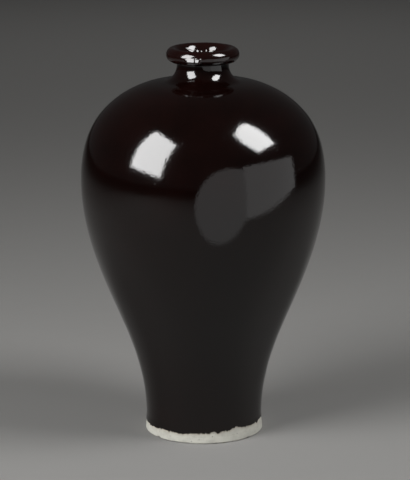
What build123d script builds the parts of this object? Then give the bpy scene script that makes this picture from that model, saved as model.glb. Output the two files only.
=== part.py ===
"""Meiping vase: stoneware thrown in three sections, luted with slip and coated with a dark glaze.

Millimetres, +Z up. The turning axis is Z and the foot ring stands on Z = 0.
Every section is drawn once as radius and height in the XZ plane and revolved about Z.
"""

import os
from math import cos, radians, sin, tan, tau

from build123d import *

# Outside of the clay, from the ground up. Each rise is measured from the station below it.
foot_radius = 45.5
foot_bevel = 1.0
waist_radius = 44.3
waist_rise = 12.0
calf_radius = 51.9
calf_rise = 48.0
flank_radius = 73.6
flank_rise = 55.0
belly_radius = 93.0
belly_rise = 83.0
shoulder_radius = 81.9
shoulder_rise = 45.5
root_radius = 30.9
root_rise = 30.3
root_slope = 5.0

# Neck, rolled lip and bell mouth.
neck_radius = 19.3
neck_wall = 3.0
neck_length = 3.75
lip_overhang = 7.9
lip_height = 9.5
lip_roll = 4.2
lip_undercut = 1.5
mouth_depth = 16.0
throat_edge = 5.0

# Walls, base and foot ring.
body_wall = 6.5
foot_wall = 7.5
base_thickness = 9.0
floor_corner = 10.0
ring_width = 9.0
recess_depth = 4.0
recess_draft = 2.0

# Bevelled seams where the sections are luted together.
slip_thickness = 0.8
belly_seam_rise = 28.0
belly_bevel = 25.0
neck_bevel = 30.0

# Glaze coat, with the line above the foot where it was dipped a little askew.
glaze = 0.7
glaze_line = 8.5
dip_tilt = 1.0
dip_wave = 0.6
dip_points = 24

# Heights that follow from the rises.
waist_height = waist_rise
calf_height = waist_height + calf_rise
flank_height = calf_height + flank_rise
belly_height = flank_height + belly_rise
shoulder_height = belly_height + shoulder_rise
root_height = shoulder_height + root_rise
floor_height = recess_depth + base_thickness
belly_seam_height = flank_height + belly_seam_rise

# The cove is the arc that leaves the shoulder at its slope and meets the neck upright.
slope = radians(root_slope)
cove_radius = (root_radius - neck_radius) / (1 - sin(slope))
cove_height = root_height + cove_radius * cos(slope)
lip_base = cove_height + neck_length
lip_top = lip_base + lip_height
crest_radius = neck_radius + lip_overhang - lip_roll
throat_radius = neck_radius - neck_wall
throat_top = lip_top - mouth_depth

upright = Vector(0, 1)
up_the_shoulder = Vector(-cos(slope), sin(slope))

# The silhouette: one smooth curve through the six stations.
stations = [
    Vector(waist_radius, waist_height),
    Vector(calf_radius, calf_height),
    Vector(flank_radius, flank_height),
    Vector(belly_radius, belly_height),
    Vector(shoulder_radius, shoulder_height),
    Vector(root_radius, root_height),
]


def body_curve(points, mode=Mode.ADD):
    """A smooth curve that starts upright and ends at the shoulder's slope."""
    return Spline(*points, tangents=[upright, up_the_shoulder], tangent_scalars=[1, 1], mode=mode)


silhouette = body_curve(stations, mode=Mode.PRIVATE)


def moved_stations(distance):
    """The stations moved along the silhouette's outward normals."""
    moved = []
    for station in stations:
        tangent = silhouette.tangent_at(silhouette.param_at_point(station))
        moved.append(station + Vector(tangent.Y, -tangent.X) * distance)
    return moved


def outside_line(coat):
    """The outside, from the foot bevel over the lip to the throat, at a coat's distance from the clay."""
    line = moved_stations(coat)
    neck = neck_radius + coat
    undercut = lip_undercut - coat
    Line((foot_radius + coat, foot_bevel), line[0])
    body_curve(line)
    TangentArc(line[-1], (neck, cove_height), tangent=up_the_shoulder)
    Line((neck, cove_height), (neck, lip_base - lip_undercut))
    TangentArc((neck, lip_base - lip_undercut), (neck + undercut, lip_base - coat), tangent=upright)
    Line((neck + undercut, lip_base - coat), (crest_radius, lip_base - coat))
    half_lip = lip_height / 2
    lip_middle = (crest_radius, lip_base + half_lip)
    EllipticalCenterArc(lip_middle, lip_roll + coat, half_lip + coat, start_angle=-90, arc_size=180)
    mouth_width = crest_radius - throat_radius + coat
    mouth_middle = (crest_radius, throat_top)
    EllipticalCenterArc(mouth_middle, mouth_width, mouth_depth + coat, start_angle=90, arc_size=90)


def inside_line(coat):
    """The inside, from the middle of the floor up to the throat, at a coat's distance from the clay."""
    wall = moved_stations(-body_wall - coat)
    side = waist_radius - foot_wall - coat
    throat = throat_radius - coat
    floor = floor_height + coat
    corner = floor_corner - coat
    root = wall[-1]
    collar = Vector(throat, root.Y + (root.X - throat) * tan(slope))
    Line((0, floor), (side - corner, floor))
    TangentArc((side - corner, floor), (side, floor + corner), tangent=(1, 0))
    body_curve([Vector(side, floor + corner), *wall[1:]])
    FilletPolyline(root, collar, (throat, throat_top), radius=throat_edge + coat)


def underside_line():
    """The recessed underside, the foot ring and its bevel, from the axis outwards."""
    ring = foot_radius - ring_width
    Polyline(
        (0, recess_depth),
        (ring - recess_draft, recess_depth),
        (ring, 0),
        (foot_radius - foot_bevel, 0),
        (foot_radius, foot_bevel),
    )


# The whole clay wall, before it is parted at the seams.
with BuildSketch(Plane.XZ) as clay:
    with BuildLine():
        underside_line()
        outside_line(0)
        inside_line(0)
        Line((0, recess_depth), (0, floor_height))
    make_face()


def belly_seam(offset):
    """The belly seam across the wall, highest on the inside, raised by an offset."""
    reach = 2 * body_wall
    drop = reach * tan(radians(belly_bevel))
    middle = belly_seam_height + offset
    return (belly_radius + reach, middle - drop), (belly_radius - 2 * reach, middle + 2 * drop)


def neck_seam(offset):
    """The neck seam across the wall, widest on the outside, moved outwards by an offset."""
    lean = tan(radians(neck_bevel))
    low = root_height - 2 * body_wall
    high = lip_top + 2 * body_wall
    radius = root_radius + offset
    return (radius - (root_height - low) * lean, low), (radius + (high - root_height) * lean, high)


half_slip = slip_thickness / 2
outer_low, inner_low = belly_seam(-half_slip)
outer_high, inner_high = belly_seam(half_slip)
collar_low, collar_high = neck_seam(-half_slip)
opening_low, opening_high = neck_seam(half_slip)

with BuildPart() as lower_body:
    with BuildSketch(Plane.XZ):
        add(clay.sketch_local)
        Polygon(
            (0, 0),
            (outer_low[0], 0),
            outer_low,
            inner_low,
            (0, inner_low[1]),
            align=None,
            mode=Mode.INTERSECT,
        )
    revolve(axis=Axis.Z)

with BuildPart() as belly_luting:
    with BuildSketch(Plane.XZ):
        add(clay.sketch_local)
        Polygon(outer_low, outer_high, inner_high, inner_low, align=None, mode=Mode.INTERSECT)
    revolve(axis=Axis.Z)

with BuildPart() as upper_body:
    with BuildSketch(Plane.XZ):
        add(clay.sketch_local)
        Polygon(
            outer_high,
            (outer_high[0], opening_high[1]),
            opening_high,
            opening_low,
            (opening_low[0], inner_high[1]),
            inner_high,
            align=None,
            mode=Mode.INTERSECT,
        )
    revolve(axis=Axis.Z)

with BuildPart() as neck_luting:
    with BuildSketch(Plane.XZ):
        add(clay.sketch_local)
        Polygon(collar_low, opening_low, opening_high, collar_high, align=None, mode=Mode.INTERSECT)
    revolve(axis=Axis.Z)

with BuildPart() as neck:
    with BuildSketch(Plane.XZ):
        add(clay.sketch_local)
        Polygon(
            (0, collar_low[1]),
            collar_low,
            collar_high,
            (0, collar_high[1]),
            align=None,
            mode=Mode.INTERSECT,
        )
    revolve(axis=Axis.Z)


def dip_line(radius):
    """The glaze line as a closed curve at a radius: the dip's tilt once round, and its wave twice round."""
    points = []
    for step in range(dip_points):
        turn = tau * step / dip_points
        height = glaze_line + dip_tilt * sin(turn) + dip_wave * sin(2 * turn)
        points.append((radius * sin(turn), -radius * cos(turn), height))
    return Spline(*points, periodic=True, mode=Mode.PRIVATE)


# Everything under this ring-shaped face is wiped bare before the firing.
inner_dip = dip_line(foot_radius - ring_width)
outer_dip = dip_line(foot_radius + ring_width)
bare_ring = Face.make_surface_from_curves(inner_dip, outer_dip)

with BuildPart() as outer_glaze:
    with BuildSketch(Plane.XZ):
        with BuildLine():
            outside_line(0)
            outside_line(glaze)
            Line((foot_radius, foot_bevel), (foot_radius + glaze, foot_bevel))
            Line((throat_radius, throat_top), (throat_radius - glaze, throat_top))
        make_face()
    revolve(axis=Axis.Z)
    extrude(bare_ring, amount=2 * glaze_line, dir=(0, 0, -1), mode=Mode.SUBTRACT)

with BuildPart() as inner_glaze:
    with BuildSketch(Plane.XZ):
        with BuildLine():
            inside_line(0)
            inside_line(glaze)
            Line((0, floor_height), (0, floor_height + glaze))
            Line((throat_radius, throat_top), (throat_radius - glaze, throat_top))
        make_face()
    revolve(axis=Axis.Z)

os.makedirs("parts", exist_ok=True)

lower_body.part.label = "lower_body"
export_step(lower_body.part, "parts/lower_body.step")

belly_luting.part.label = "belly_luting"
export_step(belly_luting.part, "parts/belly_luting.step")

upper_body.part.label = "upper_body"
export_step(upper_body.part, "parts/upper_body.step")

neck_luting.part.label = "neck_luting"
export_step(neck_luting.part, "parts/neck_luting.step")

neck.part.label = "neck"
export_step(neck.part, "parts/neck.step")

outer_glaze.part.label = "outer_glaze"
export_step(outer_glaze.part, "parts/outer_glaze.step")

inner_glaze.part.label = "inner_glaze"
export_step(inner_glaze.part, "parts/inner_glaze.step")
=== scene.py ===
"""Looks of a meiping vase: a dark iron glaze, its inner lining and the bare stoneware of the foot.

Metres, +Z up. The turning axis is Z and the foot ring stands on Z = 0. A turn is an angle about Z:
0 is the front, towards -Y, and a quarter turn is the right side, towards +X. An outline is a line of
radius and height, and every piece is an outline carried round the axis.
"""

from math import cos, pi, radians, sin, tan, tau

import bpy
import numpy as np
from bpy.props import FloatProperty, FloatVectorProperty, PointerProperty
from bpy.types import Operator, Panel, PropertyGroup
from mathutils import Matrix, Vector


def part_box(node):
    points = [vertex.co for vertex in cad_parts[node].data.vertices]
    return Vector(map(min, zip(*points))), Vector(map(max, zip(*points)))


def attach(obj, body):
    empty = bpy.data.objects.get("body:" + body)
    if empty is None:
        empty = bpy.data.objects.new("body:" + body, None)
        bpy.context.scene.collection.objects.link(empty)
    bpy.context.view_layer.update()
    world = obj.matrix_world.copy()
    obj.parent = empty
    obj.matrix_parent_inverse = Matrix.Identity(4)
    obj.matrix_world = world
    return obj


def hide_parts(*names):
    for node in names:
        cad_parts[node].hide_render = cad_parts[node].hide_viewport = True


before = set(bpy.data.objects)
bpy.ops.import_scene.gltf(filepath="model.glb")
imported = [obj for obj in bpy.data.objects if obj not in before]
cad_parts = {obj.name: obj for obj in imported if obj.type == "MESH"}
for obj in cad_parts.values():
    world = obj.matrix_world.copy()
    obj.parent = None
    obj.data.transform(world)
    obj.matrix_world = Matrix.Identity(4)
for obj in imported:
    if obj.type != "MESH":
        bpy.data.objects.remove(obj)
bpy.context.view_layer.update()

bl_info = {
    "name": "Meiping Vase",
    "version": (1, 0, 0),
    "blender": (4, 5, 0),
    "location": "3D View > Sidebar > Vase",
    "description": "Glazes a turned vase, finishes its bare foot and lights it",
    "category": "Object",
}

BODY = "root"
MM = 0.001

# The clay's widest radius and the coat's thickness are read from the frame.
CLAY_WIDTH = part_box("upper_body")[1].x
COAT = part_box("outer_glaze")[1].x - CLAY_WIDTH


def length(name, default, description):
    """A size that a user can change, in metres."""
    return FloatProperty(
        name=name, description=description, default=default, min=0, precision=4, unit="LENGTH"
    )


def angle(name, default, description):
    """An angle that a user can change, given here in degrees."""
    return FloatProperty(name=name, description=description, default=radians(default), unit="ROTATION")


def amount(name, default, description):
    """A plain number that a user can change."""
    return FloatProperty(name=name, description=description, default=default, min=0)


def colour(name, default, description):
    """A colour that a user can change, as linear red, green and blue."""
    return FloatVectorProperty(
        name=name, description=description, default=default, min=0, max=1, size=3, subtype="COLOR"
    )


class VaseShape(PropertyGroup):
    """The clay's outline. Each rise is measured from the station below it."""

    foot_radius: length("Foot radius", 0.0455, "Outside of the foot ring")
    foot_round: length("Foot rounding", 0.001, "Rounding of the foot's lower edge")
    waist_radius: length("Waist radius", 0.0443, "Narrowest place, just above the foot")
    waist_rise: length("Waist rise", 0.012, "Height of the waist above the ground")
    calf_radius: length("Calf radius", 0.0519, "Where the wall begins to swing out")
    calf_rise: length("Calf rise", 0.048, "Height of the calf above the waist")
    flank_radius: length("Flank radius", 0.0736, "Middle of the swelling wall")
    flank_rise: length("Flank rise", 0.055, "Height of the flank above the calf")
    belly_radius: length("Belly radius", CLAY_WIDTH, "Widest place of the clay")
    belly_rise: length("Belly rise", 0.083, "Height of the belly above the flank")
    shoulder_radius: length("Shoulder radius", 0.0819, "Where the shoulder turns inwards")
    shoulder_rise: length("Shoulder rise", 0.0455, "Height of the shoulder above the belly")
    root_radius: length("Root radius", 0.0309, "Where the neck's cove leaves the shoulder")
    root_rise: length("Root rise", 0.0303, "Height of the neck's root above the shoulder")
    root_slope: angle("Root slope", 5, "Slope of the shoulder at the neck's root")
    neck_radius: length("Neck radius", 0.0193, "Outside of the neck")
    neck_wall: length("Neck wall", 0.003, "Thickness of the neck at the throat")
    neck_length: length("Neck length", 0.00375, "Upright stretch of the neck")
    lip_overhang: length("Lip overhang", 0.0079, "How far the lip stands out from the neck")
    lip_height: length("Lip height", 0.0095, "Height of the rolled lip")
    lip_roll: length("Lip roll", 0.0042, "Depth of the lip's rounding")
    lip_undercut: length("Lip undercut", 0.0015, "Rounding under the lip")
    mouth_depth: length("Mouth depth", 0.016, "Depth of the bell mouth")
    throat_edge: length("Throat edge", 0.005, "Rounding under the throat")
    body_wall: length("Body wall", 0.0065, "Thickness of the body")
    foot_wall: length("Foot wall", 0.0075, "Thickness of the wall at the waist")
    base_thickness: length("Base thickness", 0.009, "Thickness of the base")
    floor_corner: length("Floor corner", 0.010, "Rounding inside, at the floor")
    ring_width: length("Ring width", 0.009, "Width of the foot ring")
    recess_depth: length("Recess depth", 0.004, "Depth of the hollow underside")
    recess_draft: length("Recess draft", 0.002, "Slope of the hollow's side")
    belly_seam: length("Belly seam", 0.1426, "Height of the lower body's rim at the belly's radius")
    belly_bevel: angle("Belly bevel", 25, "Slope of that rim")


class GlazeLook(PropertyGroup):
    """The coat, the line that it was dipped to, and its colours."""

    coat: length("Coat", COAT, "The most that the glaze stands off the clay")
    line: length("Glaze line", 0.0085, "Mean height of the dipped edge")
    tilt: length("Dip tilt", 0.001, "How far the edge rises and falls once round")
    wave: length("Dip wave", 0.0006, "How far the edge rises and falls twice round")
    fray: length("Edge fray", 0.00055, "Small unevenness of the edge")
    deep: colour("Thick glaze", (0.0026, 0.0007, 0.0005), "Colour where the glaze lies thick")
    russet: colour("Thin glaze", (0.011, 0.0026, 0.0021), "Colour where the glaze runs thin")
    lining: colour("Lining", (0.008, 0.0035, 0.0026), "Colour of the glaze inside")


class ClayLook(PropertyGroup):
    """The bare stoneware and the slip in the seams."""

    body: colour("Bare clay", (0.49, 0.485, 0.43), "Colour of the bare foot")
    shade: colour("Clay shade", (0.35, 0.34, 0.305), "Colour of its darker clouds")
    toast: colour("Toasted clay", (0.33, 0.27, 0.20), "Colour along the glaze's edge")
    iron: colour("Iron specks", (0.05, 0.032, 0.022), "Colour of the specks")
    slip: colour("Slip", (0.42, 0.39, 0.32), "Colour of the slip in the seams")


class StudioLook(PropertyGroup):
    """Floor, light and camera."""

    floor: colour("Floor", (0.22, 0.217, 0.21), "Colour of the floor")
    floor_shade: colour("Floor shade", (0.18, 0.177, 0.172), "Colour of the floor's faint grain")
    room: amount("Room light", 0.04, "Even light from all round")
    left: amount("Left softbox", 16.2, "Brightness of the left softbox, seen from straight ahead")
    right: amount("Right softbox", 17.8, "Brightness of the right softbox, seen from straight ahead")
    grid: angle("Grid", 115, "Full angle over which the softboxes' grids spread their light")
    passed: amount("Grid pass", 0.75, "Share of a softbox's brightness that its grid lets through")
    back: amount("Back light", 1.6, "Brightness of the light over the floor behind")
    card: amount("Card light", 0.96, "Brightness of the low reflector card")
    disc: amount("Disc light", 0.69, "Brightness of the round reflector")
    camera_distance: length("Camera distance", 1.8076, "From the axis to the camera")
    camera_height: length("Camera height", 0.58735, "Camera above the floor")
    camera_aside: length("Camera aside", 0.00121, "Camera to the right of the axis")
    camera_pitch: angle("Camera pitch", 13.594, "How far the camera looks down")
    camera_roll: angle("Camera roll", -0.195, "Lean of the camera")
    camera_lens: amount("Lens", 180.9, "Focal length in millimetres on a 36 mm frame")


def smooth_slopes(points, first, last):
    """Slopes at points for which the cubics between them bend alike where they meet.

    The cubics run on chord length, and the first and the last slope are given.
    """
    chord = np.linalg.norm(np.diff(points, axis=0), axis=1)
    pull = np.diff(points, axis=0) / chord[:, None]
    before = chord[:-1]
    after = chord[1:]
    count = len(points)
    inner = np.arange(1, count - 1)
    system = np.eye(count)
    system[inner, inner - 1] = after
    system[inner, inner] = 2 * (before + after)
    system[inner, inner + 1] = before
    wanted = np.empty_like(points)
    wanted[0] = first
    wanted[-1] = last
    wanted[1:-1] = 3 * (after[:, None] * pull[:-1] + before[:, None] * pull[1:])
    return np.linalg.solve(system, wanted)


def smooth_line(points, first, last, count):
    """Points on the cubics through given points: each blends its two ends and their slopes."""
    slopes = smooth_slopes(points, first, last)
    chord = np.linalg.norm(np.diff(points, axis=0), axis=1)
    knots = np.concatenate([[0.0], np.cumsum(chord)])
    along = np.linspace(0, knots[-1], count)
    span = np.clip(np.searchsorted(knots, along, side="right") - 1, 0, len(chord) - 1)
    width = chord[span][:, None]
    share = (along - knots[span])[:, None] / width
    rest = 1 - share
    start = points[span] * (1 + 2 * share) * rest**2 + slopes[span] * width * share * rest**2
    stop = points[span + 1] * (3 - 2 * share) * share**2 - slopes[span + 1] * width * rest * share**2
    return start + stop


def straight(start, stop, count=40):
    """Evenly spaced points from start to stop."""
    return np.linspace(start, stop, count)


def oval(middle, half_width, half_height, start, stop, count=120):
    """Points on an ellipse: its middle plus the half axes times the angle's cosine and sine."""
    turn = np.radians(np.linspace(start, stop, count))
    return np.stack([middle[0] + half_width * np.cos(turn), middle[1] + half_height * np.sin(turn)], -1)


def rounded(points, radii, count=16):
    """A line through points whose inner corners are arcs that touch both of their sides."""
    points = np.asarray(points, float)
    runs = [points[:1]]
    for before, corner, after, radius in zip(points[:-2], points[1:-1], points[2:], radii):
        back = (before - corner) / np.linalg.norm(before - corner)
        ahead = (after - corner) / np.linalg.norm(after - corner)
        opening = np.arccos(back @ ahead)
        middle = corner + (back + ahead) / np.linalg.norm(back + ahead) * radius / sin(opening / 2)
        first = corner + back * radius / tan(opening / 2) - middle
        last = corner + ahead * radius / tan(opening / 2) - middle
        sweep = pi - opening
        share = np.linspace(0, 1, count)[:, None]
        arc = np.sin((1 - share) * sweep) * first + np.sin(share * sweep) * last
        runs.append(middle + arc / sin(sweep))
    runs.append(points[-1:])
    return np.concatenate(runs)


class Outline:
    """Stretches of radius and height joined end to end, read by the running length along them."""

    def __init__(self, *stretches):
        self.points = np.concatenate([stretches[0], *[stretch[1:] for stretch in stretches[1:]]])
        steps = np.linalg.norm(np.diff(self.points, axis=0), axis=1)
        self.length = np.concatenate([[0.0], np.cumsum(steps)])
        last = np.cumsum([len(stretch) - 1 for stretch in stretches])
        self.ends = self.length[last]
        tangent = np.gradient(self.points, self.length, axis=0)
        tangent /= np.linalg.norm(tangent, axis=1, keepdims=True)
        self.side = np.stack([tangent[:, 1], -tangent[:, 0]], -1)

    def place(self, along, lift=0.0):
        """Radius and height at a running length, lifted off the line to the right of its travel."""
        columns = (*self.points.T, *self.side.T)
        radius, height, out, up = [np.interp(along, self.length, column) for column in columns]
        return radius + lift * out, height + lift * up

    def rows(self, start, counts):
        """Running lengths for rows of points: a count for each stretch, the first one cut at start."""
        begins = np.maximum(np.concatenate([[0.0], self.ends[:-1]]), start)
        spaced = [np.linspace(a, b, n + 1)[1:] for a, b, n in zip(begins, self.ends, counts) if b > a and n]
        return np.concatenate([[start], *spaced])


STATIONS = ("waist", "calf", "flank", "belly", "shoulder", "root")

# Points along the body's curve, outside and inside.
OUTSIDE_COUNT = 1200
INSIDE_COUNT = 800


def stations(shape):
    """The points that the clay's silhouette passes through, from the waist to the neck's root."""
    radii = [getattr(shape, name + "_radius") for name in STATIONS]
    rises = [getattr(shape, name + "_rise") for name in STATIONS]
    return np.stack([radii, np.cumsum(rises)], -1)


def end_slopes(shape):
    """The silhouette starts upright and ends at the shoulder's slope."""
    return (0.0, 1.0), (-cos(shape.root_slope), sin(shape.root_slope))


def neck_heights(shape):
    """The cove's radius, its top, the lip's underside and the throat's top."""
    cove = (shape.root_radius - shape.neck_radius) / (1 - sin(shape.root_slope))
    cove_top = stations(shape)[-1, 1] + cove * cos(shape.root_slope)
    lip_base = cove_top + shape.neck_length
    throat_top = lip_base + shape.lip_height - shape.mouth_depth
    return cove, cove_top, lip_base, throat_top


def clay_outside(shape):
    """The clay from the foot's rounding over the lip to the throat.

    Its stretches are foot, body, cove, neck, undercut, lip underside, lip roll and bell mouth.
    """
    cove, cove_top, lip_base, throat_top = neck_heights(shape)
    points = stations(shape)
    neck = shape.neck_radius
    under = shape.lip_undercut
    crest = neck + shape.lip_overhang - shape.lip_roll
    half_lip = shape.lip_height / 2
    slope = np.degrees(shape.root_slope)
    return Outline(
        straight((shape.foot_radius, shape.foot_round), points[0]),
        smooth_line(points, *end_slopes(shape), OUTSIDE_COUNT),
        oval((neck + cove, cove_top), cove, cove, 270 - slope, 180),
        straight((neck, cove_top), (neck, lip_base - under)),
        oval((neck + under, lip_base - under), under, under, 180, 90),
        straight((neck + under, lip_base), (crest, lip_base)),
        oval((crest, lip_base + half_lip), shape.lip_roll, half_lip, -90, 90),
        oval((crest, throat_top), crest - neck + shape.neck_wall, shape.mouth_depth, 90, 180),
    )


def clay_inside(shape):
    """The clay from the middle of the floor up to the throat's top.

    Its stretches are floor, corner, wall and throat. The wall keeps the body's thickness at the stations.
    """
    throat_top = neck_heights(shape)[-1]
    points = stations(shape)
    ends = end_slopes(shape)
    slopes = smooth_slopes(points, *ends)
    slopes /= np.linalg.norm(slopes, axis=1, keepdims=True)
    wall = points - np.stack([slopes[:, 1], -slopes[:, 0]], -1) * shape.body_wall
    side = shape.waist_radius - shape.foot_wall
    floor = shape.recess_depth + shape.base_thickness
    corner = shape.floor_corner
    throat = shape.neck_radius - shape.neck_wall
    wall[0] = side, floor + corner
    collar = (throat, wall[-1, 1] + (wall[-1, 0] - throat) * tan(shape.root_slope))
    return Outline(
        straight((0.0, floor), (side - corner, floor)),
        oval((side - corner, floor + corner), corner, corner, -90, 0),
        smooth_line(wall, *ends, INSIDE_COUNT),
        rounded([wall[-1], collar, (throat, throat_top)], [shape.throat_edge]),
    )


# Worn edges under the foot: the hollow's corner, the ring's inner edge, and its outer edge as a share of
# the foot's rounding.
HOLLOW_CORNER = 1.4 * MM
RING_EDGE = 0.8 * MM
FOOT_EDGE_SHARE = 0.98


def underside(shape):
    """The hollow underside and the foot ring, from the axis outwards, with worn edges."""
    ring = shape.foot_radius - shape.ring_width
    corners = [
        (0.0, shape.recess_depth),
        (ring - shape.recess_draft, shape.recess_depth),
        (ring, 0.0),
        (shape.foot_radius, 0.0),
        (shape.foot_radius, shape.foot_round),
    ]
    return rounded(corners, [HOLLOW_CORNER, RING_EDGE, FOOT_EDGE_SHARE * shape.foot_round])


def ease(value, start, stop):
    """0 up to start, 1 from stop on, and a smooth climb between them."""
    share = np.clip((value - start) / (stop - start), 0, 1)
    return share * share * (3 - 2 * share)


def bell(away, reach):
    """1 at zero, falling on both sides as e to the minus square of the distance over the reach."""
    return np.exp(-((away / reach) ** 2))


def near(turn, place, spread):
    """A bell round a turn in degrees, on the shorter way round to it."""
    return bell((turn - radians(place) + pi) % tau - pi, radians(spread))


def degrees_round(turn):
    """Degrees round from the front: below 0 on the left and above 0 on the right."""
    return np.degrees((turn + pi) % tau - pi)


def tent(value, before, after):
    """1 at zero, falling straight to 0 at a reach before it and at a reach after it."""
    return np.clip(1 - np.where(value < 0, -value / before, value / after), 0, 1)


def ripple(turn, slowest, fastest, seed):
    """Unevenness about 1 high: sines of every whole frequency in a range, weaker as they quicken."""
    lobes = np.arange(slowest, fastest)
    start = np.random.default_rng(seed).uniform(0, tau, len(lobes))
    weight = lobes**-0.75
    return np.sin(turn[:, None] * lobes + start) @ weight / np.linalg.norm(weight)


# Where glaze ran down or was wiped away at the dipped edge: turn and spread in degrees, then the edge's
# rise in millimetres.
EDGE_RUNS = (
    (-64, 8, -0.4),
    (-47, 7, 0.5),
    (-24, 6, -0.7),
    (5, 1.6, -0.7),
    (9.5, 2.0, 0.6),
    (14, 1.5, -1.6),
    (34, 6, 1.5),
    (55, 7, -1.0),
    (66.5, 1.8, -1.3),
    (88, 6, -0.9),
    (141, 4, -1.4),
    (-132, 5, -1.1),
)

# How much of the fray each of its two ripples makes.
FRAY_SHARE = 0.6


def dip_edge(look, turn):
    """Height of the glaze's edge: the dip's tilt once round, its wave twice round, runs, bites and fray."""
    height = look.line + look.tilt * np.sin(turn) + look.wave * np.sin(2 * turn)
    for place, spread, rise in EDGE_RUNS:
        height += rise * MM * near(turn, place, spread)
    coarse = ripple(turn, 7, 64, seed=4)
    fine = ripple(turn, 64, 190, seed=9)
    return height + look.fray * FRAY_SHARE * (coarse + fine)


# Shares of the full coat: its mean, its swells and throwing rings on the body, its quicker swells on the
# lip, its limits, and where it meets the lining. Then the rings' pitch and the reach of that meeting.
MEAN_SHARE = 0.84
SWELL_SHARE = 0.05
RING_SHARE = 0.035
LIP_SHARE = 0.03
LEAST_SHARE = 0.3
MOST_SHARE = 0.96
THROAT_SHARE = 0.85
RING_PITCH = 21 * MM
THROAT_REACH = 7 * MM


def coat_share(outline, along, turn):
    """Share of the full coat that lies at a place: broad swells on the body, quicker ones on the lip.

    A swell is a sine of a whole number of turns plus the running length over a reach.
    """
    on_lip = ease(along, outline.ends[4], outline.ends[5])
    swell = np.sin(2 * turn + along / (41 * MM)) + np.sin(3 * turn - along / (23 * MM) + 1.3)
    rings = np.sin(tau * along / RING_PITCH + 0.7 * np.sin(turn))
    quick = np.sin(8 * turn + along / (2.2 * MM)) + np.sin(13 * turn - along / (3.1 * MM))
    quick += np.sin(5 * turn + 0.4)
    share = MEAN_SHARE + (SWELL_SHARE * swell + RING_SHARE * rings) * (1 - on_lip)
    share += LIP_SHARE * on_lip * quick
    in_throat = ease(along, outline.ends[-1] - THROAT_REACH, outline.ends[-1] - MM)
    return np.clip(share, LEAST_SHARE, MOST_SHARE) * (1 - in_throat) + THROAT_SHARE * in_throat


def widest_lip(outline):
    """The running length to the lip's widest place, halfway round its roll."""
    return (outline.ends[5] + outline.ends[6]) / 2


# Folds of glaze that gathered under the lip: turn of the crest and reach to its left and right in degrees,
# then millimetres: how far the crest lies below the lip's widest place, its reach up and down, its height.
LIP_FOLDS = (
    (36, 12, 12, 2.6, 2.6, 1.6, 0.4),
    (-72, 16, 9, 2.4, 2.6, 1.6, 0.5),
    (118, 9, 14, 2.2, 2.6, 1.5, 0.7),
    (-152, 12, 7, 2.4, 2.4, 1.4, 0.6),
)

# The ridge in the mouth: how far it lies below the lip's crest, its reach up and down, and its height.
MOUTH_RIDGE_DROP = 8.5 * MM
MOUTH_RIDGE_REACH = 1.1 * MM
MOUTH_RIDGE_HEIGHT = 0.3 * MM


def lip_folds(outline, along, turn):
    """How far folds stand out from the lip, and a low uneven ridge inside the mouth.

    A fold falls straight from its crest on all four sides. The ridge is a bell across, with sines round it.
    """
    folds = np.zeros(np.broadcast_shapes(along.shape, turn.shape))
    for place, left, right, below, rise, fall, height in LIP_FOLDS:
        up = along - widest_lip(outline) + below * MM
        across = tent(degrees_round(turn) - place, left, right)
        folds += height * MM * across * tent(up, fall * MM, rise * MM)
    ridge = bell(along - outline.ends[6] - MOUTH_RIDGE_DROP, MOUTH_RIDGE_REACH)
    return folds + MOUTH_RIDGE_HEIGHT * ridge * (1 + np.sin(9 * turn) * np.sin(4 * turn + 1))


# The dab on the lip: the turn that it faces in degrees, how far above the lip's widest place the lip faces
# the same way, the lip's rounding downwards and round, how far the dab is sunk, and the lip's radius.
DAB_TURN = -24
DAB_RISE = 2.1 * MM
DAB_ROUND_DOWN = 4.4 * MM
DAB_ROUND_ASIDE = 35 * MM
DAB_SINK = 0.16 * MM
LIP_RADIUS = 27 * MM

# Its crease: turn and spread in degrees, and depth. Its limits: at the top a line with its height at a turn,
# its slope for each degree and its reach, at the foot a start and a stop, at the sides turns in degrees.
DAB_CREASE = (-11.5, 1.0, 0.22 * MM)
DAB_TOP_TURN = -16
DAB_TOP = 1.5 * MM
DAB_TOP_SLOPE = -0.05 * MM
DAB_TOP_REACH = 0.7 * MM
DAB_FOOT = (3.9 * MM, 4.9 * MM)
DAB_LEFT = (-31, -23)
DAB_RIGHT = (-6, -1)


def lip_dab(outline, along, turn):
    """A dab of glaze at the front of the lip that lies flat where the lip is round.

    Its height is the lip's own fall from the place that faces the same way, downwards and aside: a distance
    squared over twice the lip's rounding. It is creased once, and cut off on all sides.
    """
    round_to = degrees_round(turn)
    down = widest_lip(outline) + DAB_RISE - along
    aside = LIP_RADIUS * np.radians(round_to - DAB_TURN)
    crease_turn, crease_spread, crease_depth = DAB_CREASE
    flat = down**2 / (2 * DAB_ROUND_DOWN) + aside**2 / (2 * DAB_ROUND_ASIDE) - DAB_SINK
    flat -= crease_depth * near(turn, crease_turn, crease_spread)
    top = DAB_TOP + DAB_TOP_SLOPE * (round_to - DAB_TOP_TURN)
    kept = ease(down, top, top + DAB_TOP_REACH) * (1 - ease(down, *DAB_FOOT))
    kept = kept * ease(round_to, *DAB_LEFT) * (1 - ease(round_to, *DAB_RIGHT))
    return np.maximum(flat, 0) * kept


# Beads of glaze inside the mouth: turn and spread in degrees, then millimetres: how far each lies below the
# lip's crest, its reach up and down, and its height.
MOUTH_BEADS = (
    (196, 5.0, 8.4, 1.2, 0.5),
    (181, 3.5, 8.0, 1.1, 0.5),
    (169, 3.0, 7.2, 1.0, 0.4),
)


def mouth_beads(outline, along, turn):
    """How far the beads stand out inside the mouth: a bell round the turn times a bell along the wall."""
    drop = along - outline.ends[6]
    beads = np.zeros(np.broadcast_shapes(along.shape, turn.shape))
    for place, spread, depth, reach, height in MOUTH_BEADS:
        beads += height * MM * near(turn, place, spread) * bell(drop - depth * MM, reach * MM)
    return beads


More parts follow.
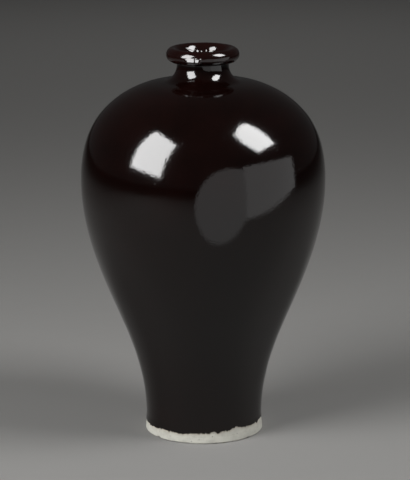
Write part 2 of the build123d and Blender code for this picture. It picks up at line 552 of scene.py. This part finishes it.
# The crease inside the mouth: the turn and drop below the lip's crest at its middle, the drop's growth for
# each degree, the spread in degrees, the reach up and down, and the depth.
CREASE_TURN = 219
CREASE_DROP = 6.0 * MM
CREASE_SLOPE = -0.15 * MM
CREASE_SPREAD = 16
CREASE_REACH = 0.8 * MM
CREASE_DEPTH = 0.3 * MM


def mouth_crease(outline, along, turn):
    """How deep a slanting crease in the mouth lies: a bell across its line, fading out along it."""
    line = CREASE_DROP + CREASE_SLOPE * (np.degrees(turn) - CREASE_TURN)
    across = bell(along - outline.ends[6] - line, CREASE_REACH)
    return CREASE_DEPTH * across * near(turn, CREASE_TURN, CREASE_SPREAD)


def turned(radius, height, turn):
    """Rings of points: each radius and height carried to each turn about the axis."""
    radius, height, turn = np.broadcast_arrays(radius, height, turn)
    return np.stack([radius * np.sin(turn), -radius * np.cos(turn), height], -1)


def turns(count):
    """Evenly spaced turns once round."""
    return np.arange(count) * tau / count


def turned_piece(name, rings, poles=()):
    """A closed mesh over rings of points, as quads between neighbouring rings.

    With the heights of two poles it starts and ends in a fan of triangles, and otherwise its last ring meets
    its first.
    """
    rows, count = rings.shape[:2]
    joined = rows - 1 if poles else rows
    index = np.arange(rows * count).reshape(rows, count)
    ahead = np.roll(index, -1, axis=1)
    upper = np.roll(index, -1, axis=0)
    upper_ahead = np.roll(ahead, -1, axis=0)
    faces = np.stack([index, ahead, upper_ahead, upper], -1)[:joined].reshape(-1, 4).tolist()
    points = rings.reshape(-1, 3)
    if poles:
        points = np.concatenate([points, [(0.0, 0.0, height) for height in poles]])
        first = np.full(count, rows * count)
        faces += np.stack([first, ahead[0], index[0]], -1).tolist()
        faces += np.stack([index[-1], ahead[-1], first + 1], -1).tolist()
    mesh = bpy.data.meshes.new(name)
    mesh.from_pydata(points.tolist(), [], faces, shade_flat=False)
    mesh.update()
    piece = bpy.data.objects.new(name, mesh)
    bpy.context.scene.collection.objects.link(piece)
    return piece


def give_attribute(piece, name, values):
    """Stores a number for each point of a piece, and 0 for its poles."""
    stored = np.zeros(len(piece.data.vertices), np.float32)
    stored[: values.size] = values.ravel()
    piece.data.attributes.new(name, "FLOAT", "POINT").data.foreach_set("value", stored)


def dress(piece, material, node):
    """Gives a piece its finish, and puts it in the place of a CAD node."""
    piece.data.materials.append(material)
    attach(piece, BODY)
    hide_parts(node)


class Wire:
    """A shader socket whose arithmetic adds Math nodes to its finish."""

    def __init__(self, finish, socket):
        self.finish = finish
        self.socket = socket

    def output(self, name):
        """Another output of the same node."""
        return Wire(self.finish, self.socket.node.outputs[name])

    def __add__(self, other):
        return self.finish.math("ADD", self, other)

    def __radd__(self, other):
        return self.finish.math("ADD", other, self)

    def __sub__(self, other):
        return self.finish.math("SUBTRACT", self, other)

    def __rsub__(self, other):
        return self.finish.math("SUBTRACT", other, self)

    def __mul__(self, other):
        return self.finish.math("MULTIPLY", self, other)

    def __gt__(self, other):
        return self.finish.math("GREATER_THAN", self, other)

    def __lt__(self, other):
        return self.finish.math("LESS_THAN", self, other)


class Finish:
    """A material made of nodes."""

    def __init__(self, name):
        self.material = bpy.data.materials.new(name)
        self.material.use_nodes = True
        self.tree = self.material.node_tree
        self.tree.nodes.clear()

    def node(self, kind, settings, sockets, output=0):
        """Adds a node, makes its settings, then fills its sockets with values or links."""
        made = self.tree.nodes.new(kind)
        for name, value in settings.items():
            setattr(made, name, value)
        for name, value in sockets.items():
            if isinstance(value, Wire):
                self.tree.links.new(value.socket, made.inputs[name])
            else:
                made.inputs[name].default_value = value
        return Wire(self, made.outputs[output])

    def math(self, operation, first, second):
        """A Math node on two values."""
        return self.node("ShaderNodeMath", {"operation": operation}, {0: first, 1: second})

    def place(self):
        """The point on the piece, in metres from its origin."""
        return self.node("ShaderNodeTexCoord", {}, {}, "Object")

    def attribute(self, name):
        """A number stored on the piece's points."""
        return self.node("ShaderNodeAttribute", {"attribute_name": name}, {}, "Fac")

    def noise(self, size, detail):
        """Soft noise from 0 to 1 whose lumps are about a size across."""
        sockets = {"Vector": self.place(), "Scale": 1 / size, "Detail": detail}
        return self.node("ShaderNodeTexNoise", {}, sockets, "Fac")

    def cells(self, size):
        """Distance from the nearest of scattered points, as a share of their spacing."""
        sockets = {"Vector": self.place(), "Scale": 1 / size}
        return self.node("ShaderNodeTexVoronoi", {}, sockets, "Distance")

    def blend(self, share, first, second):
        """A colour between two colours."""
        sockets = {0: share, 6: solid(first), 7: solid(second)}
        return self.node("ShaderNodeMix", {"data_type": "RGBA"}, sockets, 2)

    def bump(self, height, depth):
        """A normal tilted by a height from 0 to 1 that stands for a depth in metres."""
        return self.node("ShaderNodeBump", {}, {"Distance": depth, "Height": height}, "Normal")

    def surface(self, sockets):
        """Ends the finish in one surface and returns its material."""
        shader = self.node("ShaderNodeBsdfPrincipled", {}, sockets, "BSDF")
        ending = self.tree.nodes.new("ShaderNodeOutputMaterial")
        self.tree.links.new(shader.socket, ending.inputs["Surface"])
        return self.material


def solid(shade):
    """A colour with full cover, as a colour socket takes it, or a link as it is."""
    return shade if isinstance(shade, Wire) else (*shade, 1.0)


# Marks sit in scattered cells, in those whose own random grey is over this.
MARKED_CELLS = 0.66

# The glaze: its index of refraction, the depth of its peel and how fast that dies away as the glaze thins,
# then its pinholes: a share of their cells' spacing, and their depth in depths of the peel.
GLAZE_INDEX = 1.5
PEEL_DEPTH = 0.05 * MM
PEEL_FADE = 1.7
PINHOLE_REACH = 0.14
PINHOLE_DEPTH = 6.0


def glaze_finish(name, deep, russet):
    """Iron glaze: near black where thick, russet where thin, with orange peel and scattered pinholes."""
    finish = Finish(name)
    thin = finish.attribute("thinness")
    cloud = finish.noise(30 * MM, 4.0)
    freckle = finish.noise(1.6 * MM, 3.0)
    peel = finish.noise(1.5 * MM, 1.0) * (1 - thin * PEEL_FADE)
    pit = finish.cells(3.4 * MM)
    pinhole = finish.math("MAXIMUM", PINHOLE_REACH - pit, 0.0) * (pit.output("Color") > MARKED_CELLS)
    redness = thin + (cloud - 0.5) * 0.5 + (freckle - 0.5) * 0.35
    sockets = {
        "Base Color": finish.blend(redness, deep, russet),
        "Roughness": 0.06 + cloud * 0.04 + thin * 0.05,
        "IOR": GLAZE_INDEX,
        "Normal": finish.bump(peel - pinhole * PINHOLE_DEPTH, PEEL_DEPTH),
    }
    return finish.surface(sockets)


# The clay: the depth of its grain, and its specks as a share of their cells' spacing and of full cover.
GRAIN_DEPTH = 0.12 * MM
SPECK_REACH = 0.13
SPECK_COVER = 0.85


def clay_finish(name, look):
    """Bare stoneware: buff with greyer clouds, turning lines, sand, specks of iron and a toasted edge."""
    finish = Finish(name)
    cloud = finish.noise(6 * MM, 4.0)
    sand = finish.noise(0.7 * MM, 3.0)
    toast = finish.attribute("toast")
    turning = finish.node(
        "ShaderNodeTexWave",
        {"bands_direction": "Z"},
        {"Vector": finish.place(), "Scale": 340.0, "Distortion": 3.0, "Detail Scale": 0.4},
        "Fac",
    )
    cell = finish.cells(2.6 * MM)
    speck = (cell + (sand - 0.5) * 0.3 < SPECK_REACH) * (cell.output("Color") > MARKED_CELLS)
    buff = finish.blend((cloud - 0.4) * 2.2 + (sand - 0.5) * 0.8, look.body, look.shade)
    warmed = finish.blend(toast * (0.35 + cloud * 0.6), buff, look.toast)
    sockets = {
        "Base Color": finish.blend(speck * SPECK_COVER, warmed, look.iron),
        "Roughness": 0.82 - speck * 0.3,
        "Normal": finish.bump(sand * 0.7 + turning * 0.3 + cloud * 0.4, GRAIN_DEPTH),
    }
    return finish.surface(sockets)


def slip_finish(name, look):
    """Dried slip: matt, a little darker than the clay, with fine grain."""
    finish = Finish(name)
    grain = finish.noise(0.9 * MM, 3.0)
    sockets = {
        "Base Color": finish.blend(grain, look.slip, look.shade),
        "Roughness": 0.85 + grain * 0.1,
        "Normal": finish.bump(grain, 0.08 * MM),
    }
    return finish.surface(sockets)


class VASE_OT_glaze_coat(Operator):
    """Coats the outside: the clay's outline lifted by the coat, from the dipped edge to the throat."""

    bl_idname = "vase.glaze_coat"
    bl_label = "Glaze Coat"

    ROUND_COUNT = 512
    HEM_ROWS = 17
    STRETCH_ROWS = (0, 58, 12, 3, 5, 2, 26, 29)
    CLAY_ROWS = (0, 14, 6, 1, 3, 1, 8, 6)
    HEM_REACH = 14 * MM
    FADE_REACH = 32 * MM
    EDGE_ROUND = 0.9 * MM
    EDGE_SINK = 0.06 * MM
    SINK_REACH = 3 * MM

    def execute(self, context):
        shape = context.scene.vase_shape
        look = context.scene.vase_glaze
        outline = clay_outside(shape)
        turn = turns(self.ROUND_COUNT)
        low = outline.points[:, 1] < stations(shape)[1, 1]
        edge = np.interp(dip_edge(look, turn), outline.points[low, 1], outline.length[low])
        mean = edge.mean()
        hem = mean + self.HEM_REACH * np.linspace(0, 1, self.HEM_ROWS) ** 2
        body_rows = outline.rows(hem[-1], self.STRETCH_ROWS)[1:]
        clay_rows = outline.rows(hem[-1], self.CLAY_ROWS)[1:]
        front = self.follow_edge(np.concatenate([hem, body_rows]), edge, mean)
        back = self.follow_edge(np.concatenate([hem[::5], clay_rows])[::-1], edge, mean)
        from_edge = np.clip((front - edge) / self.EDGE_ROUND, 0, 1)
        share = coat_share(outline, front, turn)
        lift = look.coat * share * np.sqrt(1 - (1 - from_edge) ** 2) - self.EDGE_SINK * (1 - from_edge)
        lift += lip_folds(outline, front, turn) + lip_dab(outline, front, turn)
        lift += mouth_beads(outline, front, turn) - mouth_crease(outline, front, turn)
        backing = -2 * self.EDGE_SINK * (1 - ease(back - edge, 0.0, self.SINK_REACH))
        outer = turned(*outline.place(front, lift), turn)
        inner = turned(*outline.place(back, backing), turn)
        piece = turned_piece("glaze_coat", np.concatenate([outer, inner]))
        give_attribute(piece, "thinness", self.thinness(outline, front, share))
        dress(piece, glaze_finish("iron_glaze", look.deep, look.russet), "outer_glaze")
        return {"FINISHED"}

    def follow_edge(self, rows, edge, mean):
        """Rows of running length that bend with the dipped edge and straighten out above it."""
        fade = (1 - np.clip((rows - mean) / self.FADE_REACH, 0, 1)) ** 2
        return rows[:, None] + fade[:, None] * (edge - mean)

    def thinness(self, outline, along, share):
        """How thin the glaze has run: most over the lip, less on the neck, a little on the shoulder."""
        over_lip = ease(along, outline.ends[4], outline.ends[5])
        down_mouth = ease(along, outline.ends[6], outline.ends[7])
        on_neck = ease(along, outline.ends[1], outline.ends[3])
        on_shoulder = ease(along, 0.55 * outline.ends[1], 0.8 * outline.ends[1])
        place = 0.12 * on_shoulder + 0.1 * on_neck + 0.3 * over_lip - 0.35 * down_mouth
        return place + 0.6 * (MEAN_SHARE - share)


class VASE_OT_lining(Operator):
    """Lines the inside: the inner outline lifted towards the axis, with a spiral of finger ridges."""

    bl_idname = "vase.lining"
    bl_label = "Lining"

    ROUND_COUNT = 144
    FACE_ROWS = (8, 12, 90, 22)
    CLAY_ROWS = (4, 6, 40, 14)
    RIDGE_PITCH = 8 * MM
    # Shares of the full coat: its mean between the throat and the floor, and the ridges. Then how much
    # thinner the glaze is on a ridge, and how far below the throat the ridges end.
    FACE_SHARE = 0.68
    RIDGE_SHARE = 0.22
    RIDGE_THINNESS = 0.3
    CALM_REACH = 4 * MM

    def execute(self, context):
        shape = context.scene.vase_shape
        look = context.scene.vase_glaze
        outline = clay_inside(shape)
        turn = turns(self.ROUND_COUNT)
        face = outline.rows(0.0, self.FACE_ROWS)[:0:-1, None]
        clay = outline.rows(0.0, self.CLAY_ROWS)[1:, None]
        ridge = np.sin(tau * face / self.RIDGE_PITCH - turn)
        throat = ease(face, outline.ends[2], outline.ends[3] - self.CALM_REACH)
        ridged = ease(face, 0.0, outline.ends[1]) * (1 - throat)
        rest = THROAT_SHARE + (self.FACE_SHARE - THROAT_SHARE) * ridged
        lift = -look.coat * (rest + self.RIDGE_SHARE * ridge * ridged)
        rings = [turned(*outline.place(clay), turn), turned(*outline.place(face, lift), turn)]
        floor = outline.points[0, 1]
        poles = (floor, floor + THROAT_SHARE * look.coat)
        piece = turned_piece("lining", np.concatenate(rings), poles)
        thin = self.RIDGE_THINNESS * ridge * ridged
        give_attribute(piece, "thinness", np.concatenate([np.zeros((len(clay), len(turn))), thin]))
        dress(piece, glaze_finish("inner_glaze", look.lining, look.russet), "inner_glaze")
        return {"FINISHED"}


class VASE_OT_lower_clay(Operator):
    """Turns the lower body: hollow underside, worn foot ring, bare band, wall, bevelled rim and inside."""

    bl_idname = "vase.lower_clay"
    bl_label = "Lower Clay Body"

    ROUND_COUNT = 480
    UNDER_ROWS = 74
    BAND_ROWS = 34
    BAND_TOP = 16 * MM
    WALL_ROWS = 14
    INSIDE_ROWS = 30
    SPIRAL_PITCH = 4.2 * MM
    SPIRAL_DEPTH = 0.16 * MM
    TOOL_PITCH = 2.4 * MM
    TOOL_DEPTH = 0.025 * MM
    TOAST_REACH = 0.9 * MM
    # Chips along the foot's outer edge: turn and spread in degrees, depth in millimetres.
    CHIPS = (
        (-51, 2.0, 0.7),
        (-17, 1.4, 0.3),
        (12, 1.2, 0.25),
        (48, 2.2, 0.35),
        (97, 2.6, 0.6),
        (158, 1.8, 0.5),
        (-118, 2.4, 0.55),
    )

    def execute(self, context):
        shape = context.scene.vase_shape
        turn = turns(self.ROUND_COUNT)
        points = np.concatenate([self.under_rings(shape, turn), *self.wall_rings(shape, turn)])
        poles = (shape.recess_depth, shape.recess_depth + shape.base_thickness)
        piece = turned_piece("lower_clay_body", points, poles)
        below = dip_edge(context.scene.vase_glaze, turn) - points[..., 2]
        give_attribute(piece, "toast", np.exp(-np.abs(below) / self.TOAST_REACH))
        dress(piece, clay_finish("bare_stoneware", context.scene.vase_clay), "lower_body")
        return {"FINISHED"}

    def under_rings(self, shape, turn):
        """The underside with a trimming spiral in its hollow, and chips taken out of the outer edge."""
        line = Outline(underside(shape))
        along = self.under_lengths(line)[:, None]
        radius, height = line.place(along)
        foot = shape.foot_radius
        hollow = ease(radius, 2 * MM, 6 * MM) * (1 - ease(radius, 0.70 * foot, 0.76 * foot))
        spiral = self.SPIRAL_DEPTH * np.cos(tau * radius / self.SPIRAL_PITCH - turn) * hollow
        chip = self.chip_depth(turn) * ease(along, line.length[-1] - 3.2 * MM, line.length[-1] - MM)
        return turned(radius - 0.6 * chip, height + spiral + 0.8 * chip, turn)

    def under_lengths(self, line):
        """Running lengths from the axis outwards, closer together towards the foot's edge."""
        share = np.linspace(0, 1, self.UNDER_ROWS + 1)[1:]
        return line.length[-1] * (1 - (1 - share) ** 1.6)

    def chip_depth(self, turn):
        """How deep the edge is chipped at each turn."""
        return sum(depth * MM * near(turn, place, spread) for place, spread, depth in self.CHIPS)

    def wall_rings(self, shape, turn):
        """The bare band, the wall up to the rim, the rim's bevel and the inside back to the floor."""
        outside = clay_outside(shape)
        inside = clay_inside(shape)
        lean = tan(shape.belly_bevel)
        rim = shape.belly_seam + shape.belly_radius * lean
        out_stop = self.meet(outside, outside.ends[1], lean, rim)
        in_stop = self.meet(inside, inside.ends[2], lean, rim)
        band = np.linspace(0, self.BAND_TOP, self.BAND_ROWS + 1)[1:, None]
        wall = np.linspace(self.BAND_TOP, out_stop, self.WALL_ROWS + 1)[1:, None]
        back = np.linspace(in_stop, 0, self.INSIDE_ROWS + 1)[:-1, None]
        marks = np.sin(tau * band / self.TOOL_PITCH + 0.8 * np.sin(turn))
        tool = self.TOOL_DEPTH * marks * ease(band, MM, 3 * MM)
        chip = self.chip_depth(turn) * (1 - ease(band, 0.0, 1.6 * MM))
        radius, height = outside.place(band, tool - 0.8 * chip)
        yield turned(radius, height + 0.4 * chip, turn)
        yield turned(*outside.place(wall), turn)
        yield turned(*inside.place(back), turn)

    def meet(self, outline, stop, lean, rim):
        """The running length at which an outline crosses the rim's bevel."""
        part = outline.length <= stop
        level = outline.points[part, 1] + outline.points[part, 0] * lean
        return np.interp(rim, level, outline.length[part])


class VASE_OT_upper_clay(Operator):
    """Finishes the clay and slip that the glaze covers: upper body, neck and the two seams."""

    bl_idname = "vase.upper_clay"
    bl_label = "Covered Clay and Seams"

    def execute(self, context):
        look = context.scene.vase_clay
        clay = clay_finish("covered_stoneware", look)
        slip = slip_finish("luting_slip", look)
        finishes = {"upper_body": clay, "neck": clay, "belly_luting": slip, "neck_luting": slip}
        for node, material in finishes.items():
            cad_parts[node].material_slots[0].material = material
        return {"FINISHED"}


class VASE_OT_stage(Operator):
    """Sets up the pale floor, three softboxes, two reflectors, even room light and the camera."""

    bl_idname = "vase.stage"
    bl_label = "Stage"

    FLOOR_RADIUS = 9.0
    FLOOR_THICKNESS = 0.01
    FLOOR_ROUND_COUNT = 96
    FLOOR_RINGS = 12
    DISC_COUNT = 64
    FILM_WIDTH = 36.0
    # Stands: a place in metres, then degrees: the azimuth and elevation that it shines from, and its lean.
    LEFT_STAND = ((-1.040, -0.790, 0.968), (-54.0, 29.1, -6.4))
    RIGHT_STAND = ((0.972, -0.410, 1.302), (67.7, 45.2, 5.0))
    BACK_STAND = ((0.0, 2.0, 1.3), (0.0, 89.0, 0.0))
    CARD_STAND = ((0.386, -0.149, 0.214), (31.8, 7.3, 5.7))
    DISC_STAND = ((0.108, -0.333, 0.159), (18.0, -8.0, 39.3))
    # Rims of what stands there, in metres across and up from the place.
    LEFT_RIM = ((-0.44, -0.585), (0.475, -0.61), (0.37, 0.48), (-0.45, 0.70))
    RIGHT_RIM = (
        (-0.26, -0.45),
        (0.30, -0.43),
        (0.33, 0.42),
        (0.24, 0.50),
        (0.05, 0.48),
        (-0.27, 0.35),
        (-0.39, -0.02),
    )
    BACK_RIM = ((-0.8, -0.4), (0.8, -0.4), (0.8, 0.4), (-0.8, 0.4))
    CARD_RIM = ((-0.235, -0.104), (0.235, -0.104), (0.235, 0.104), (-0.235, 0.104))
    DISC_HALVES = (0.172, 0.136)

    def execute(self, context):
        studio = context.scene.vase_studio
        context.scene.view_settings.view_transform = "Standard"
        self.floor(studio)
        self.room(context.scene, studio)
        disc_rim = oval((0.0, 0.0), *self.DISC_HALVES, 0, 360, self.DISC_COUNT + 1)[:-1]
        self.lamp("left_softbox", self.LEFT_STAND, self.LEFT_RIM, studio.left, studio)
        self.lamp("right_softbox", self.RIGHT_STAND, self.RIGHT_RIM, studio.right, studio)
        self.lamp("back_softbox", self.BACK_STAND, self.BACK_RIM, studio.back, studio)
        self.sheet("left_softbox_face", self.LEFT_STAND, self.LEFT_RIM, studio.left)
        self.sheet("right_softbox_face", self.RIGHT_STAND, self.RIGHT_RIM, studio.right)
        self.sheet("reflector_card", self.CARD_STAND, self.CARD_RIM, studio.card)
        self.sheet("reflector_disc", self.DISC_STAND, disc_rim, studio.disc)
        self.camera(context.scene, studio)
        return {"FINISHED"}

    def floor(self, studio):
        """A wide thin disc: rings of growing radius, its top on the ground and its underside just below."""
        turn = turns(self.FLOOR_ROUND_COUNT)
        radius = self.FLOOR_RADIUS * np.linspace(0, 1, self.FLOOR_RINGS + 1)[1:, None] ** 2
        top = turned(radius, 0.0, turn)
        under = turned(radius, -self.FLOOR_THICKNESS, turn)
        poles = (-self.FLOOR_THICKNESS, 0.0)
        floor = turned_piece("floor", np.concatenate([under, top[::-1]]), poles)
        finish = Finish("pale_floor")
        grain = finish.noise(0.02, 3.0)
        sockets = {
            "Base Color": finish.blend(grain * 0.12, studio.floor, studio.floor_shade),
            "Roughness": 0.7 + grain * 0.1,
            "Specular IOR Level": 0.0,
        }
        floor.data.materials.append(finish.surface(sockets))

    def room(self, scene, studio):
        """Even light from all round."""
        scene.world = bpy.data.worlds.new("room")
        scene.world.use_nodes = True
        background = scene.world.node_tree.nodes["Background"]
        background.inputs["Color"].default_value = solid((studio.room,) * 3)

    def stood(self, stand):
        """The matrix that takes what is across, up and off a stand's face to where it stands."""
        place, facing = stand
        azimuth, elevation, lean = [radians(part) for part in facing]
        off = Vector((sin(azimuth) * cos(elevation), -cos(azimuth) * cos(elevation), sin(elevation)))
        across = Vector((0, 0, 1)).cross(off).normalized()
        facing_vase = Matrix((across, off.cross(across), off)).transposed().to_4x4()
        return Matrix.Translation(place) @ facing_vase @ Matrix.Rotation(lean, 4, "Z")

    def lamp(self, name, stand, rim, glow, studio):
        """The light of a softbox behind a grid, from a rectangle with its rim's area and proportions.

        Its power is pi times its area times its brightness. Of that the grid passes a share, narrowed by
        1 - half / tan(half) for half its angle.
        """
        half = studio.grid / 2
        rim = np.array(rim)
        ahead = np.roll(rim, -1, axis=0)
        area = abs(np.sum(rim[:, 0] * ahead[:, 1] - rim[:, 1] * ahead[:, 0])) / 2
        box = np.ptp(rim, axis=0)
        light = bpy.data.lights.new(name, "AREA")
        light.shape = "RECTANGLE"
        light.size, light.size_y = box * np.sqrt(area / box.prod())
        light.spread = studio.grid
        light.energy = pi * area * glow * studio.passed * (1 - half / tan(half))
        lamp = bpy.data.objects.new(name, light)
        lamp.matrix_world = self.stood(stand)
        lamp.visible_camera = False
        lamp.visible_glossy = False
        bpy.context.scene.collection.objects.link(lamp)

    def sheet(self, name, stand, rim, glow):
        """The glowing face of a softbox or reflector, which shows in the glaze and lights nothing else."""
        flat = np.column_stack([rim, np.zeros(len(rim)), np.ones(len(rim))])
        points = (flat @ np.array(self.stood(stand)).T)[:, :3]
        mesh = bpy.data.meshes.new(name)
        mesh.from_pydata(points.tolist(), [], [list(range(len(rim)))])
        sockets = {
            "Base Color": solid((0.0, 0.0, 0.0)),
            "Emission Strength": glow,
        }
        mesh.materials.append(Finish(name).surface(sockets))
        sheet = bpy.data.objects.new(name, mesh)
        sheet.visible_camera = False
        sheet.visible_diffuse = False
        sheet.visible_shadow = False
        bpy.context.scene.collection.objects.link(sheet)

    def camera(self, scene, studio):
        """A long lens that looks along +Y and a little down."""
        lens = bpy.data.cameras.new("camera")
        lens.lens = studio.camera_lens
        lens.sensor_width = self.FILM_WIDTH
        camera = bpy.data.objects.new("camera", lens)
        place = Matrix.Translation((studio.camera_aside, -studio.camera_distance, studio.camera_height))
        pitch = Matrix.Rotation(pi / 2 - studio.camera_pitch, 4, "X")
        camera.matrix_world = place @ pitch @ Matrix.Rotation(studio.camera_roll, 4, "Z")
        scene.collection.objects.link(camera)
        scene.camera = camera


GROUPS = {
    "vase_shape": VaseShape,
    "vase_glaze": GlazeLook,
    "vase_clay": ClayLook,
    "vase_studio": StudioLook,
}
OPERATORS = (VASE_OT_lower_clay, VASE_OT_upper_clay, VASE_OT_lining, VASE_OT_glaze_coat, VASE_OT_stage)


class VASE_PT_sidebar(Panel):
    """Lists the steps and the values that they read."""

    bl_idname = "VASE_PT_sidebar"
    bl_label = "Meiping Vase"
    bl_space_type = "VIEW_3D"
    bl_region_type = "UI"
    bl_category = "Vase"

    def draw(self, context):
        for step in OPERATORS:
            self.layout.operator(step.bl_idname)
        for name, group in GROUPS.items():
            box = self.layout.box()
            box.label(text=group.__doc__)
            for value in group.__annotations__:
                box.prop(getattr(context.scene, name), value)


def register():
    for group in GROUPS.values():
        bpy.utils.register_class(group)
    for name, group in GROUPS.items():
        setattr(bpy.types.Scene, name, PointerProperty(type=group))
    for step in (*OPERATORS, VASE_PT_sidebar):
        bpy.utils.register_class(step)


def unregister():
    for step in (VASE_PT_sidebar, *reversed(OPERATORS)):
        bpy.utils.unregister_class(step)
    for name in reversed(GROUPS):
        delattr(bpy.types.Scene, name)
    for group in reversed(GROUPS.values()):
        bpy.utils.unregister_class(group)


def main():
    """Builds every piece and the stage."""
    register()
    bpy.ops.vase.lower_clay()
    bpy.ops.vase.upper_clay()
    bpy.ops.vase.lining()
    bpy.ops.vase.glaze_coat()
    bpy.ops.vase.stage()


if __name__ == "__main__":
    main()
